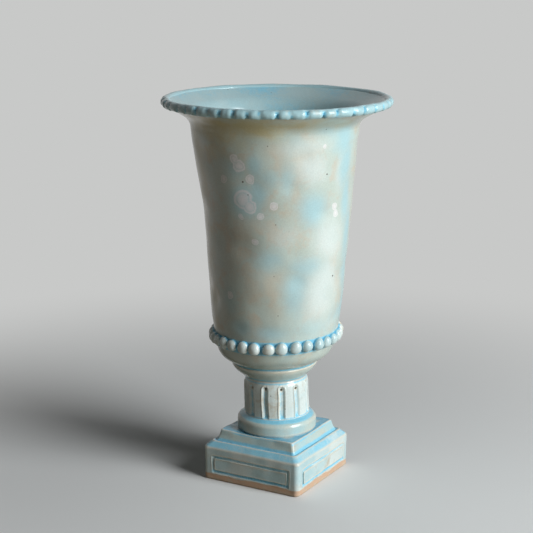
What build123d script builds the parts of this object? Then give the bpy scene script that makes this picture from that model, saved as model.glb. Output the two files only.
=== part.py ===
from build123d import *
import os
from math import cos, pi, radians, sin, sqrt, tan

# Pinched vase on a square plinth, handbuilt in glazed stoneware.
# Millimetres, +Z up. The origin is the centre of the foot, and the front is -Y.
# Every piece is a separate lump of clay, luted face to face to its neighbours.

# Plinth: four mitred side slabs and a top slab, open underneath
plinth_side = 78.6
plinth_wall_height = 22.5
plinth_wall_thickness = 7.0
plinth_top_thickness = 6.5
plinth_chamfer = 4.2
plinth_corner_round = 2.5
plinth_foot_round = 1.2

# Panel line incised on each side slab
panel_width = 65.0
panel_height = 13.6
panel_foot_height = 5.4
panel_line_width = 2.6
panel_line_depth = 0.9

# Step slab on the plinth
step_skirt_side = 66.4
step_side = 63.4
step_top_side = 59.6
step_skirt_height = 2.4
step_height = 7.5
step_corner_round = 1.8
step_edge_bevel = 0.7

# Ring under the stem, with a soft edge and a top that slopes down from the stem
ring_radius = 29.1
ring_height = 11.0
ring_side_height = 8.2
ring_edge_round = 2.4
ring_foot_bevel = 0.8
ring_ledge = 0.9

# Fluted and pierced stem, a thick tube
stem_radius = 23.5
stem_height = 28.1
stem_bore_radius = 18.0
stem_shoulder_radius = 21.7
stem_shoulder_height = 4.0
flute_count = 12
flute_width = 4.4
flute_depth = 1.5
flute_length = 25.4
flute_turn = 9.5
pin_hole_radius = 0.95
pin_hole_height = 22.8

# Collar between the stem and the bowl: its swell is a share of its breadth and height
collar_foot_radius = 22.2
collar_radius = 31.4
collar_height = 11.6
collar_lip_height = 0.9
collar_swell_out = 0.69
collar_swell_up = 0.47

# Bowl, with the sloped seat for the belt of beads at its top
bowl_foot_radius = 30.4
bowl_groove_height = 0.8
bowl_shoulder_radius = 43.6
bowl_shoulder_height = 14.3
bowl_swell_out = 0.6
bowl_swell_up = 0.38
bowl_rim_radius = 45.5
bowl_height = 26.8
bowl_thickness = 5.0
bowl_floor_thickness = 5.5

# Belt of clay beads pressed onto the bowl
bead_count = 33
bead_width = 6.7
bead_height = 9.4
bead_proud = 4.45
bead_side_bevel = 1.9
bead_crown_bevel = 1.6
bead_turn = 7.9

# Pinched wall, narrow at its foot
wall_height = 146.0
wall_top_radius = 59.8
wall_thickness = 5.0
wall_waist = 1.3
wall_bend_share = 0.5
pinch_depth = 0.7
pinch_drift = 0.4
pinch_rows = 5
pinches_per_row = 6

# Flared flange on the wall, and the notched coil on its edge
flange_slope = 30.6
flange_thickness = 4.6
flange_underside_round = 5.0
flange_throat_round = 9.0
coil_ring_radius = 78.5
coil_radius = 3.2
coil_crest_height = 20.0
notch_count = 48
notch_width = 2.8
notch_depth = 1.3
notch_turn = 0.7
notch_crowding = 2.0
notch_crowds = 3
notch_crowd_turn = 50.0
notch_stray = 0.4

# Heights of the seats, from the foot up
step_seat = plinth_wall_height + plinth_top_thickness
ring_seat = step_seat + step_height
stem_seat = ring_seat + ring_height
collar_seat = stem_seat + stem_height
bowl_seat = collar_seat + collar_height
wall_seat = bowl_seat + bowl_height
flange_seat = wall_seat + wall_height


def turned(points):
    """Turn a closed half outline, given as radius and height, about the axis."""
    return revolve(Plane.XZ * make_face(Polyline(*points, close=True)), Axis.Z)


def flats(start, through, end, count):
    """Corners of the short flats that stand for the arc through three points."""
    arc = ThreePointArc(start, through, end)
    return [arc @ (k / count) for k in range(count + 1)]


def eased(start, corner, end, radius, count):
    """Points from start to end, with the corner eased by an arc drawn in flats."""
    near = (Vector(*start) - Vector(*corner)).normalized()
    away = (Vector(*end) - Vector(*corner)).normalized()
    half = radians(near.get_angle(away) / 2)
    room = min(abs(Vector(*start) - Vector(*corner)), abs(Vector(*end) - Vector(*corner)))
    reach = min(radius / tan(half), 0.95 * room)
    rounding = reach * tan(half)
    to_arc = rounding / sin(half) - rounding
    middle = Vector(*corner) + (near + away).normalized() * to_arc
    first = Vector(*corner) + near * reach
    last = Vector(*corner) + away * reach
    return [start] + flats(first, middle, last, count) + [end]


def bored(piece, foot, height):
    """Cut the air shaft of the hollow stem through a piece."""
    return piece - Pos(0, 0, foot + height / 2) * Cylinder(stem_bore_radius, height)


def square_frustum(foot_side, top_side, corner, foot, height):
    """Square block with rounded corners, straight or narrowing upwards."""
    low = Pos(0, 0, foot) * RectangleRounded(foot_side, foot_side, corner)
    high = Pos(0, 0, foot + height) * RectangleRounded(top_side, top_side, corner)
    return loft([low, high], ruled=True)


def plinth_box():
    """Hollow square box with rounded corners, before it is parted at the mitres."""
    box = square_frustum(plinth_side, plinth_side, plinth_corner_round, 0, plinth_wall_height)
    box = fillet(box.faces().sort_by(Axis.Z)[0].edges(), plinth_foot_round)
    hollow_side = plinth_side - 2 * plinth_wall_thickness
    return box - Pos(0, 0, plinth_wall_height / 2) * Box(hollow_side, hollow_side, plinth_wall_height)


def panel_line():
    """Rectangular line pressed into the front slab."""
    outer = Rectangle(panel_width, panel_height)
    inner = Rectangle(panel_width - 2 * panel_line_width, panel_height - 2 * panel_line_width)
    place = Pos(0, -plinth_side / 2, panel_foot_height + panel_height / 2) * Rot(90, 0, 0)
    return place * extrude(outer - inner, panel_line_depth, both=True)


def plinth_wall():
    """Front side slab, mitred at both ends. The other three are turned copies."""
    wedge = Polygon((0, 0), (-plinth_side, -plinth_side), (plinth_side, -plinth_side), align=None)
    return (plinth_box() & extrude(wedge, plinth_wall_height)) - panel_line()


def plinth_top():
    """Bevelled top slab, with the hole that vents the hollow stem."""
    edge_height = plinth_top_thickness - plinth_chamfer
    edge = square_frustum(
        plinth_side, plinth_side, plinth_corner_round, plinth_wall_height, edge_height)
    bevel = square_frustum(
        plinth_side, plinth_side - 2 * plinth_chamfer, plinth_corner_round,
        plinth_wall_height + edge_height, plinth_chamfer)
    return bored(edge + bevel, plinth_wall_height, plinth_top_thickness)


def plinth_step():
    """Step slab with a sloped skirt, slanted sides and a softened top edge."""
    skirt = square_frustum(
        step_skirt_side, step_side, step_corner_round, step_seat, step_skirt_height)
    riser = square_frustum(
        step_side, step_top_side, step_corner_round,
        step_seat + step_skirt_height, step_height - step_skirt_height)
    riser = chamfer(riser.faces().sort_by(Axis.Z)[-1].edges(), step_edge_bevel)
    return bored(skirt + riser, step_seat, step_height)


def base_ring():
    """Thick ring with upright sides and a sloped top, seated on the step."""
    foot = (ring_radius, ring_seat + ring_foot_bevel)
    edge = (ring_radius, ring_seat + ring_side_height)
    ledge = (stem_radius + ring_ledge, stem_seat)
    shoulder = eased(foot, edge, ledge, ring_edge_round, 2)
    return turned(
        [(stem_bore_radius, ring_seat), (ring_radius - ring_foot_bevel, ring_seat)] + shoulder
        + [(stem_bore_radius, stem_seat)])


def stem_blank():
    """Plain tube of the stem with its drawn-in shoulder."""
    return turned([
        (stem_bore_radius, stem_seat), (stem_radius, stem_seat),
        (stem_radius, collar_seat - stem_shoulder_height), (stem_shoulder_radius, collar_seat),
        (stem_bore_radius, collar_seat)])


def flute_tool():
    """Round-ended gouge that cuts one flute, standing on the stem's foot."""
    radius = (flute_width ** 2 / 4 + flute_depth ** 2) / (2 * flute_depth)
    reach = stem_radius - flute_depth + radius
    straight = flute_length - flute_width / 2
    shaft = Pos(reach, 0, stem_seat + straight / 2) * Cylinder(radius, straight)
    return shaft + Pos(reach, 0, stem_seat + straight) * Sphere(radius)


def fluted_stem():
    """Stem with upright flutes, each pierced by a needle near its top."""
    needle = Pos(stem_radius, 0, stem_seat + pin_hole_height) * Rot(0, 90, 0)
    needle = needle * Cylinder(pin_hole_radius, 2 * (stem_radius - stem_bore_radius))
    gouge = flute_tool()
    stem = stem_blank()
    for k in range(flute_count):
        turn = Rot(0, 0, flute_turn + k * 360 / flute_count)
        stem -= turn * gouge
        stem -= turn * needle
    return stem


def stem_collar():
    """Swelling collar, like a shallow cup, with a crisp upper edge."""
    foot = (collar_foot_radius, collar_seat)
    edge = (collar_radius, bowl_seat - collar_lip_height)
    swell = (
        collar_foot_radius + collar_swell_out * (collar_radius - collar_foot_radius),
        collar_seat + collar_swell_up * collar_height)
    return turned(
        [(stem_bore_radius, collar_seat)] + flats(foot, swell, edge, 4)
        + [(collar_radius, bowl_seat), (stem_bore_radius, bowl_seat)])


def bowl():
    """Open bowl: flat floor, round underside and a sloped seat for the beads."""
    inner_foot = bowl_foot_radius - bowl_thickness
    inner_shoulder = bowl_shoulder_radius - bowl_thickness
    swell_out = bowl_swell_out * (bowl_shoulder_radius - bowl_foot_radius)
    swell_up = bowl_swell_up * bowl_shoulder_height
    groove_top = (bowl_foot_radius, bowl_seat + bowl_groove_height)
    swell = (bowl_foot_radius + swell_out, bowl_seat + swell_up)
    belt_foot = (bowl_shoulder_radius, bowl_seat + bowl_shoulder_height)
    floor_edge = (inner_foot, bowl_seat + bowl_floor_thickness)
    inner_swell = (inner_foot + 0.75 * swell_out, floor_edge[1] + 0.5 * swell_up)
    inner_belt_foot = (inner_shoulder, belt_foot[1])
    return turned(
        [(0, bowl_seat), (bowl_foot_radius, bowl_seat)] + flats(groove_top, swell, belt_foot, 4)
        + [(bowl_rim_radius, wall_seat), (bowl_rim_radius - bowl_thickness, wall_seat)]
        + flats(inner_belt_foot, inner_swell, floor_edge, 3) + [(0, floor_edge[1])])


def belt_beads():
    """Bevelled oval beads side by side round the bowl, each flat on its seat."""
    seat_foot = bowl_seat + bowl_shoulder_height
    seat_height = wall_seat - seat_foot
    middle = seat_foot + seat_height / 2
    seat_radius = (bowl_shoulder_radius + bowl_rim_radius) / 2
    seat = Pos(0, 0, middle) * Cone(bowl_shoulder_radius, bowl_rim_radius, seat_height)
    pellet = Box(bead_width, 2 * bead_proud, bead_height)
    pellet = chamfer(pellet.edges().filter_by(Axis.Y), bead_side_bevel)
    pellet = chamfer(pellet.faces().sort_by(Axis.Y)[0].edges(), bead_crown_bevel)
    pellet = Pos(0, -seat_radius, middle) * pellet - seat
    return [Rot(0, 0, bead_turn + k * 360 / bead_count) * pellet for k in range(bead_count)]


def wall_radius(rise):
    """Outer radius of the wall before pinching, at a share of its height."""
    taper = wall_top_radius - bowl_rim_radius
    waist = wall_waist * sin(pi * rise ** 1.45) ** 2
    return bowl_rim_radius + taper * rise - waist


def pinched_section(rise):
    """Closed outline of the wall at a share of its height, dented by the fingers."""
    row = pi * pinch_rows * rise
    fade = sqrt(abs(sin(pi * rise)))
    points = []
    for k in range(2 * pinches_per_row):
        turn = pi * k / pinches_per_row
        dent = cos(pinches_per_row * turn) * sin(row)
        drift = sin(2 * turn + 3 * rise)
        radius = wall_radius(rise) + fade * (pinch_depth * dent + pinch_drift * drift) / 2
        points.append((radius * cos(turn), radius * sin(turn)))
    return Pos(0, 0, wall_seat + rise * wall_height) * make_face(Spline(*points, periodic=True))


def body_wall():
    """Pinched wall: dented sections, one for each pinch, over a smooth tapered inside."""
    steps = 2 * pinch_rows
    outside = loft([pinched_section(k / steps) for k in range(steps + 1)], ruled=True)
    inside = turned([
        (0, wall_seat), (bowl_rim_radius - wall_thickness, wall_seat),
        (wall_radius(wall_bend_share) - wall_thickness, wall_seat + wall_bend_share * wall_height),
        (wall_top_radius - wall_thickness, flange_seat), (0, flange_seat)])
    return outside - inside


def flange_frame():
    """Middle of the coil, its outer point, and the corners where the flange meets it."""
    along = Vector(cos(radians(flange_slope)), sin(radians(flange_slope)))
    across = Vector(-along.Y, along.X) * (flange_thickness / 2)
    middle = Vector(coil_ring_radius, flange_seat + coil_crest_height - coil_radius)
    seat = middle - along * sqrt(coil_radius ** 2 - (flange_thickness / 2) ** 2)
    return along, middle, seat - across, seat + across


def rim_flange():
    """Flared flange that opens the mouth and carries the coil."""
    along, middle, under, upper = flange_frame()
    rise = along.Y / along.X
    neck_under = (wall_top_radius, flange_seat)
    neck_upper = (wall_top_radius - wall_thickness, flange_seat)
    bend_under = (neck_under[0], under.Y - (under.X - neck_under[0]) * rise)
    bend_upper = (neck_upper[0], upper.Y - (upper.X - neck_upper[0]) * rise)
    underside = eased(neck_under, bend_under, (under.X, under.Y), flange_underside_round, 2)
    throat = eased(neck_upper, bend_upper, (upper.X, upper.Y), flange_throat_round, 3)
    return turned(underside + throat[::-1])


def notch_angle(k):
    """Angle of a notch in degrees: nearly even, crowding here and there as handwork does."""
    even = notch_turn + k * 360 / notch_count
    crowded = even - notch_crowding * cos(radians(notch_crowds * (even + notch_crowd_turn)))
    return crowded + notch_stray * sin(2.4 * k)


def rim_coil():
    """Coil on the flange's edge, its round in flats, pressed with upright notches."""
    along, middle, under, upper = flange_frame()
    coil = turned(flats(under, middle + along * coil_radius, upper, 6))
    edge = coil_ring_radius + coil_radius
    tool = Polygon(
        (edge - notch_depth, 0), (edge + notch_depth, -notch_width),
        (edge + notch_depth, notch_width), align=None)
    tool = extrude(Pos(0, 0, middle.Y) * tool, 2 * coil_radius, both=True)
    for k in range(notch_count):
        coil -= Rot(0, 0, notch_angle(k)) * tool
    return coil


def save(name, piece):
    """Write one node to its file."""
    export_step(piece, f"parts/{name}.step")


os.makedirs("parts", exist_ok=True)

side_slab = plinth_wall()
for quarter, side in enumerate(("front", "right", "back", "left")):
    save(f"plinth_wall_{side}", Rot(0, 0, 90 * quarter) * side_slab)
save("plinth_top", plinth_top())
save("plinth_step", plinth_step())
save("base_ring", base_ring())
save("fluted_stem", fluted_stem())
save("stem_collar", stem_collar())
save("bowl", bowl())
save("belt_beads", Compound(children=belt_beads()))
save("body_wall", body_wall())
save("rim_flange", rim_flange())
save("rim_coil", rim_coil())
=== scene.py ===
import math

import bpy
import numpy as np
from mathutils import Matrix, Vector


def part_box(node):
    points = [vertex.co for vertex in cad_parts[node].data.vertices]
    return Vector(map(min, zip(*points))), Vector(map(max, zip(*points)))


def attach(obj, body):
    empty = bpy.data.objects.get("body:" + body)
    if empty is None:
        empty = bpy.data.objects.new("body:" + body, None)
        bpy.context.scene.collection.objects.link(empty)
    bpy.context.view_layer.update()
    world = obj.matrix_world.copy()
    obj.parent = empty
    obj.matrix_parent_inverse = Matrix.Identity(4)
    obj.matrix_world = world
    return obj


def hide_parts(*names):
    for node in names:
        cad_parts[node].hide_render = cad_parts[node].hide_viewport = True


bl_info = {
    "name": "Pinched Vase",
    "version": (1, 0, 0),
    "blender": (4, 5, 0),
    "location": "3D View > Sidebar > Vase",
    "description": "Builds a handbuilt, celadon glazed vase round its fixed frame",
    "category": "Add Mesh",
}

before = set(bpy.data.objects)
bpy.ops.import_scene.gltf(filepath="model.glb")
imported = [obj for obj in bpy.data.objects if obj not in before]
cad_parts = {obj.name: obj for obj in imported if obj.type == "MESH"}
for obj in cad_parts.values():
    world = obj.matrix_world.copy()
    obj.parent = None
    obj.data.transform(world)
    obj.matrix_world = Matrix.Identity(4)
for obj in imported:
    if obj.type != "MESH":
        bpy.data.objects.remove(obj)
MM = 0.001
TURN = 2 * math.pi


def span(node):
    """Half width, foot and top of a node of the frame, in millimetres."""
    low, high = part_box(node)
    return high.x / MM, low.z / MM, high.z / MM


PLINTH_HALF, _, WALLS_TOP = span("plinth_wall_right")
STEP_HALF, STEP_SEAT, STEP_TOP = span("plinth_step")
RING_RADIUS, RING_SEAT, RING_TOP = span("base_ring")
STEM_RADIUS, STEM_SEAT, STEM_TOP = span("fluted_stem")
COLLAR_RADIUS, COLLAR_SEAT, COLLAR_TOP = span("stem_collar")
BOWL_RADIUS, BOWL_SEAT, BOWL_TOP = span("bowl")
BEAD_REACH, BEAD_FOOT, BEAD_TOP = span("belt_beads")
WALL_RADIUS, WALL_SEAT, WALL_TOP = span("body_wall")
COIL_RADIUS, _, COIL_TOP = span("rim_coil")

# Inner radius of the stacked pieces under the bowl, in millimetres
BORE = 18.0

# Camera, fitted to the photograph: degrees, metres, and a lens in millimetres
CAMERA_TURN = 29.5
CAMERA_DISTANCE = 1.0079
CAMERA_HEIGHT = 0.3973
CAMERA_PITCH = 13.424
CAMERA_PAN = 0.432
CAMERA_LENS = 96.85

# Lean towards the camera's left in millimetres, and how much the left side hangs lower, by height
LEAN_HEIGHTS = (0, 36, 48, 60, 74, 85, 95, 105, 126, 150, 180, 200, 228, 250, 262, 280)
LEAN_LEFT = (0, 0, -0.2, 0.2, 0.7, 1.5, 0.9, 0.6, 0.5, 0.2, -0.5, -0.4, 0.8, 1.3, 1.2, 0)
TILT_HEIGHTS = (36, 48, 80, 105, 150, 200)
TILT_LEFT = (0, 0.015, 0.02, 0.025, 0.01, 0)


def linear(colour):
    """Linear red, green and blue of an sRGB hex colour."""
    values = [int(colour[k:k + 2], 16) / 255 for k in (1, 3, 5)]
    return [v / 12.92 if v <= 0.04045 else ((v + 0.055) / 1.055) ** 2.4 for v in values]


def length(name, description, default):
    """A size of the vase, given in millimetres."""
    return bpy.props.FloatProperty(
        name=name, description=description, default=default * MM, unit="LENGTH", precision=4)


def colour(name, description, default):
    """A glaze or clay colour, given as sRGB hex."""
    return bpy.props.FloatVectorProperty(
        name=name, description=description, default=linear(default), subtype="COLOR",
        size=3, min=0, max=1)


class VaseSizes(bpy.types.PropertyGroup):
    wall_thickness: length("Wall", "Thickness of the pinched wall", 5.0)
    dent_depth: length("Dent depth", "Depth of the finger dents in the wall", 1.15)
    waist: length("Waist", "How far the wall draws in at mid height", 1.3)
    panel_line: length("Panel line", "Width of the line incised on the plinth", 2.2)
    panel_depth: length("Panel depth", "Depth of the line incised on the plinth", 1.1)
    flute_width: length("Flute width", "Width of the flutes on the stem", 4.8)
    flute_depth: length("Flute depth", "Depth of the flutes on the stem", 1.3)
    needle: length("Needle", "Diameter of the needle holes in the stem", 1.9)
    bead_width: length("Bead width", "Width of the beads of the belt", 8.2)
    notch_width: length("Notch width", "Width of the notches in the rim coil", 3.3)
    notch_depth: length("Notch depth", "Depth of the notches in the rim coil", 1.9)


class VaseColours(bpy.types.PropertyGroup):
    celadon: colour("Celadon", "Grey green of the glaze at its usual thickness", "#bbc8bf")
    beige: colour("Beige", "Glaze thin over the buff clay", "#c2bcaa")
    cream: colour("Cream", "Glaze clouded white", "#d2dedb")
    sky: colour("Sky", "Glaze a little thick, pale blue", "#a6cad0")
    pool: colour("Pool", "Glaze pooled thick, strong blue", "#4a97bf")
    shallow: colour("Shallow pool", "Glaze pooled a little, turquoise blue", "#82cae2")
    worn: colour("Worn edge", "Glaze run thin over a ridge", "#d8d2c2")
    # Ochre is partly the glaze's own colour and partly painted shade: warm and dim on the flange's underside
    # and down the wall's shaded left side
    ochre_and_painted_shade: colour("Ochre", "Olive ochre band under the rim", "#c0b88c")
    bloom: colour("Bloom", "Cloudy pink white blooms in the glaze", "#e8e4e6")
    iron: colour("Iron", "Dark specks of iron from the clay", "#3a2a1c")
    clay: colour("Clay", "Bare buff clay at the foot", "#cbab90")


def smooth(low, high, value):
    """Rise from 0 to 1 between two values, with soft ends."""
    share = np.clip((value - low) / (high - low), 0, 1)
    return share * share * (3 - 2 * share)


def mix(low, high, share):
    """Blend of two values."""
    return low + (high - low) * share


def ripple(place, size, seed):
    """Smooth unevenness from -1 to 1 in space, with lumps of about the given size."""
    total = np.zeros(len(place))
    for k in range(6):
        height = 1 - (2 * k + 1) / 6
        turn = 2.4 * k + seed
        flat = math.sqrt(1 - height * height)
        way = np.array((flat * math.cos(turn), flat * math.sin(turn), height))
        pitch = TURN / (size * (1.6 + 0.22 * ((k * 3) % 6)))
        total += np.sin(place @ way * pitch + 1.7 * seed + 2.1 * k)
    return total / 3.4


def outline(corners):
    """Closed outline through corners given as radius, height, ease and grain.

    Ease is how far the corner is rounded along its legs, and 0 keeps it sharp. Grain is the
    spacing of the points after it.
    """
    count = len(corners)
    path, grains, sharp = [], [], []
    for k, (radius, height, ease, grain) in enumerate(corners):
        here = np.array((radius, height), float)
        ends = []
        for other in (corners[k - 1], corners[(k + 1) % count]):
            leg = np.array(other[:2], float) - here
            size = math.hypot(*leg)
            reach = min(ease, size * ease / max(ease + other[2], 1e-9))
            ends.append(here + leg / size * reach)
        steps = 12 if ease else 0
        for step in range(steps + 1):
            t = step / steps if steps else 0
            path.append((1 - t) ** 2 * ends[0] + 2 * t * (1 - t) * here + t * t * ends[1])
            grains.append(grain)
            sharp.append(not ease)
    first = sharp.index(True)
    path = path[first:] + path[:first + 1]
    grains = grains[first:] + grains[:first]
    sharp = sharp[first:] + sharp[:first + 1]
    points = []
    start = 0
    for end in range(1, len(path)):
        if not sharp[end]:
            continue
        stretch = np.array(path[start:end + 1])
        sizes = np.hypot(*np.diff(stretch, axis=0).T) / np.array(grains[start:end])
        along = np.concatenate(([0], np.cumsum(sizes)))
        pieces = max(1, round(along[-1]))
        marks = np.arange(pieces) * along[-1] / pieces
        points += list(zip(np.interp(marks, along, stretch[:, 0]), np.interp(marks, along, stretch[:, 1])))
        start = end
    return points


def spun(name, points, sides):
    """Turn a closed outline about the axis, as on the potter's turntable, and close its poles."""
    bpy.ops.object.select_all(action="DESELECT")
    bpy.ops.mesh.primitive_circle_add(vertices=len(points), radius=points[0][0] * MM)
    piece = bpy.context.object
    piece.name = name
    piece.data.name = name
    for vertex, (radius, height) in zip(piece.data.vertices, points):
        vertex.co = (radius * MM, 0, height * MM)
    turning = piece.modifiers.new("turntable", "SCREW")
    turning.steps = sides
    turning.render_steps = sides
    turning.use_merge_vertices = True
    turning.merge_threshold = 0.002 * MM
    bpy.ops.object.modifier_apply(modifier=turning.name)
    bpy.ops.object.mode_set(mode="EDIT")
    bpy.ops.mesh.select_all(action="SELECT")
    bpy.ops.mesh.remove_doubles(threshold=0.002 * MM)
    bpy.ops.mesh.normals_make_consistent(inside=False)
    bpy.ops.object.mode_set(mode="OBJECT")
    return piece


def places(piece):
    """Points of a piece, one row each, in millimetres."""
    flat = np.empty(3 * len(piece.data.vertices))
    piece.data.vertices.foreach_get("co", flat)
    return flat.reshape(-1, 3) / MM


def put(piece, place):
    """Move the points of a piece to new places, in millimetres."""
    piece.data.vertices.foreach_set("co", (place * MM).ravel())
    piece.data.update()


def polar(place):
    """Radius and turn of points about the axis."""
    return np.hypot(place[:, 0], place[:, 1]), np.arctan2(place[:, 1], place[:, 0])


def points_at(radius, turn, height):
    """Points at a radius, turn and height, one row each."""
    return np.column_stack((radius * np.cos(turn), radius * np.sin(turn), height))


def reshape(piece, rule):
    """Move the points of a piece by a rule on their radius, turn and height."""
    place = places(piece)
    put(piece, points_at(*rule(*polar(place), place[:, 2])))


def join(pieces):
    """Join pieces into the first of them."""
    bpy.ops.object.select_all(action="DESELECT")
    for piece in pieces:
        piece.select_set(True)
    bpy.context.view_layer.objects.active = pieces[0]
    bpy.ops.object.join()
    return pieces[0]


def squared(radius, turn, corner, ease):
    """Bend round outlines into square ones of the same half width, with rounded corners.

    The bore stays round, and the outlines turn square over an ease outside it. The third result
    is how square each point is.
    """
    spread = turn + 0.15 * np.sin(4 * turn)
    fold = np.abs((spread + math.pi / 4) % (math.pi / 2) - math.pi / 4)
    side = radius / np.cos(fold)
    centre = np.maximum(radius - corner, 0)
    along = centre * (np.cos(fold) + np.sin(fold))
    arc = along + np.sqrt(np.maximum(along ** 2 - 2 * centre ** 2 + corner ** 2, 0))
    rounded = radius * np.tan(fold) > centre
    square = smooth(BORE + 1, BORE + ease, radius)
    return mix(radius, np.where(rounded, arc, side), square), mix(turn, spread, square), square


def face_place(radius, turn):
    """Distance along the nearest plinth face from its middle, and outwards from the axis."""
    fold = (turn + math.pi / 4) % (math.pi / 2) - math.pi / 4
    return radius * np.sin(fold), radius * np.cos(fold)


# Waist of the wall: above 1 it sits higher. Finger dents: rows, columns, spacing and the wall's radius.
WAIST_POWER = 1.45
DENT_ROWS = 8
DENT_COLUMNS = 11
DENT_SPACING = 20.5
DENT_RADIUS = 52


def wall_share(height):
    """Share of the wall's height below a height, from 0 to 1."""
    return np.clip((height - WALL_SEAT) / (WALL_TOP - WALL_SEAT), 0, 1)


def waisted(height):
    """How far the wall draws in at a height."""
    depth = bpy.context.scene.vase_sizes.waist / MM
    return depth * np.sin(math.pi * wall_share(height) ** WAIST_POWER) ** 2


def wall_radius(height):
    """Outside radius of the wall before pinching, at a height."""
    return BOWL_RADIUS + (WALL_RADIUS - BOWL_RADIUS) * wall_share(height) - waisted(height)


def on_wall(turn, height):
    """Point on the outside of the wall, in metres, at a turn in degrees and a height in millimetres."""
    radius = float(wall_radius(np.array(height)))
    angle = math.radians(turn)
    return (radius * math.cos(angle) * MM, radius * math.sin(angle) * MM, height * MM)


def finger_dents(turn, height):
    """How far the fingers pressed the wall in at each point: rows of soft dents."""
    depth = bpy.context.scene.vase_sizes.dent_depth / MM
    total = np.zeros(len(turn))
    for row in range(DENT_ROWS):
        for column in range(DENT_COLUMNS):
            k = row * DENT_COLUMNS + column
            middle = TURN * (column + 0.5 * (row % 2) + 0.3 * math.sin(2.7 * k)) / DENT_COLUMNS
            level = WALL_SEAT + 6 + DENT_SPACING * row + 5 * math.sin(1.9 * k + 0.6)
            wide = 9.5 + 3 * math.sin(3.7 * k)
            strength = 0.55 + 0.45 * math.sin(4.9 * k + 1.2)
            across = np.angle(np.exp(1j * (turn - middle))) * DENT_RADIUS
            total += strength * np.exp(-(across / wide) ** 2 - ((height - level) / (0.85 * wide)) ** 2)
    return depth * (0.35 - total)


def pinched(radius, turn, height):
    """Rule for the wall and the flange: the waist, with the dents laid over it."""
    fade = smooth(WALL_SEAT + 2, WALL_SEAT + 10, height) * (1 - smooth(WALL_TOP + 2, WALL_TOP + 12, height))
    return radius - waisted(height) + fade * finger_dents(turn, height), turn, height


def sway(place):
    """Lean of the handbuilt stack, in millimetres. Every piece shares it, so they stay joined."""
    height = place[:, 2]
    left = np.interp(height, LEAN_HEIGHTS, LEAN_LEFT)
    tilt = np.interp(height, TILT_HEIGHTS, TILT_LEFT)
    way = np.array((-math.cos(math.radians(CAMERA_TURN)), -math.sin(math.radians(CAMERA_TURN)), 0))
    return place + left[:, None] * way - np.outer(tilt * (place @ way), (0, 0, 1))


def tint(piece, name, values):
    """Store a value from 0 to 1 for each point of a piece, for its material to read."""
    layer = piece.data.attributes.new(name, "FLOAT", "POINT")
    layer.data.foreach_set("value", np.clip(values, 0, 1).astype(np.float32))


def marks(piece, pool, thin=None, rounds=14, deep=0.35, high=0.3):
    """Store where the glaze pools and where it breaks thin, from hollows and ridges.

    Relief is how far a point lies under its neighbourhood, which is smoothed by a number of
    rounds. A hollow as deep as given is full, and a ridge as high as given is bare.
    """
    mesh = piece.data
    count = len(mesh.vertices)
    place = places(piece)
    edges = np.empty(2 * len(mesh.edges), np.int64)
    mesh.edges.foreach_get("vertices", edges)
    edges = edges.reshape(-1, 2)
    ends = np.concatenate((edges[:, 0], edges[:, 1]))
    others = np.concatenate((edges[:, 1], edges[:, 0]))
    number = np.maximum(np.bincount(ends, minlength=count), 1)
    soft = place.copy()
    for _ in range(rounds):
        soft = np.column_stack([
            np.bincount(ends, weights=soft[others, axis], minlength=count) / number
            for axis in range(3)])
    normals = np.empty(3 * count)
    mesh.vertices.foreach_get("normal", normals)
    normals = normals.reshape(-1, 3)
    relief = np.einsum("ij,ij->i", soft - place, normals)
    tint(piece, "pool", np.clip(relief / deep, 0, 1) + pool(place))
    tint(piece, "thin", np.clip(-relief / high, 0, 1) + (thin(place) if thin else 0))


# Coloured clouds on the wall: turn, height, half width and half height, and strength
SKY_CLOUDS = (
    (-86, 214, 15, 13, 0.9), (-92, 236, 12, 12, 0.6), (-74.9, 240, 7, 12, 0.7), (-66, 231, 10, 8, 0.6),
    (-73.8, 220, 7, 10, 0.8), (-53, 227, 6, 15, 0.6), (-33, 208, 14, 14, 0.9), (-66, 173, 12, 9, 0.8),
    (-37, 168, 16, 9, 0.7), (-46, 148, 10, 22, 0.7), (-102, 140, 9, 16, 0.6), (-94, 122, 12, 8, 0.8),
    (-66, 119, 16, 7, 0.7), (-30, 121, 20, 8, 0.5), (-7, 255, 9, 17, 0.9), (-3, 236, 8, 20, 0.9),
    (2, 212, 7, 22, 0.9), (8, 186, 7, 22, 0.9), (14, 160, 7, 22, 0.8), (20, 134, 8, 20, 0.8),
    (75, 180, 20, 40, 0.5), (130, 210, 24, 30, 0.6), (-160, 170, 22, 36, 0.5))
CREAM_CLOUDS = (
    (-17, 186, 16, 22, 0.9), (-19, 149, 16, 28, 0.9), (-40, 252, 22, 9, 0.6), (-34, 236, 16, 15, 0.7),
    (-55, 190, 13, 13, 0.4), (-10, 232, 6, 18, 0.5), (100, 150, 24, 30, 0.6), (-175, 220, 20, 24, 0.5))
# Cream clouds on the lining of the mouth. The two broad ones on the lining's left side are painted light,
# lighter where the window lights the lining; the small ones near the edge are the glaze's own colour
LINING_CLOUDS_AND_PAINTED_LIGHT = (
    (165, 270, 50, 12, 0.95), (110, 274, 24, 5, 0.8), (62, 272, 20, 6, 0.7), (-150, 266, 40, 12, 0.8))
# Beige and ochre clouds on the outside. The ochre band on the flange's underside and the ochre down the left
# side are partly painted shade, tinted warm like bounce light from below
BEIGE_CLOUDS = (
    (-63, 156, 11, 12, 0.8), (-79, 150, 10, 14, 0.6), (-61, 136, 8, 9, 0.6), (-52, 207, 9, 14, 0.5),
    (-88, 190, 13, 14, 0.6), (-60, 250, 14, 8, 0.6), (-100, 180, 14, 30, 0.5), (-108, 128, 12, 14, 0.5),
    (50, 150, 18, 26, 0.6), (170, 140, 22, 24, 0.6))
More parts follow.
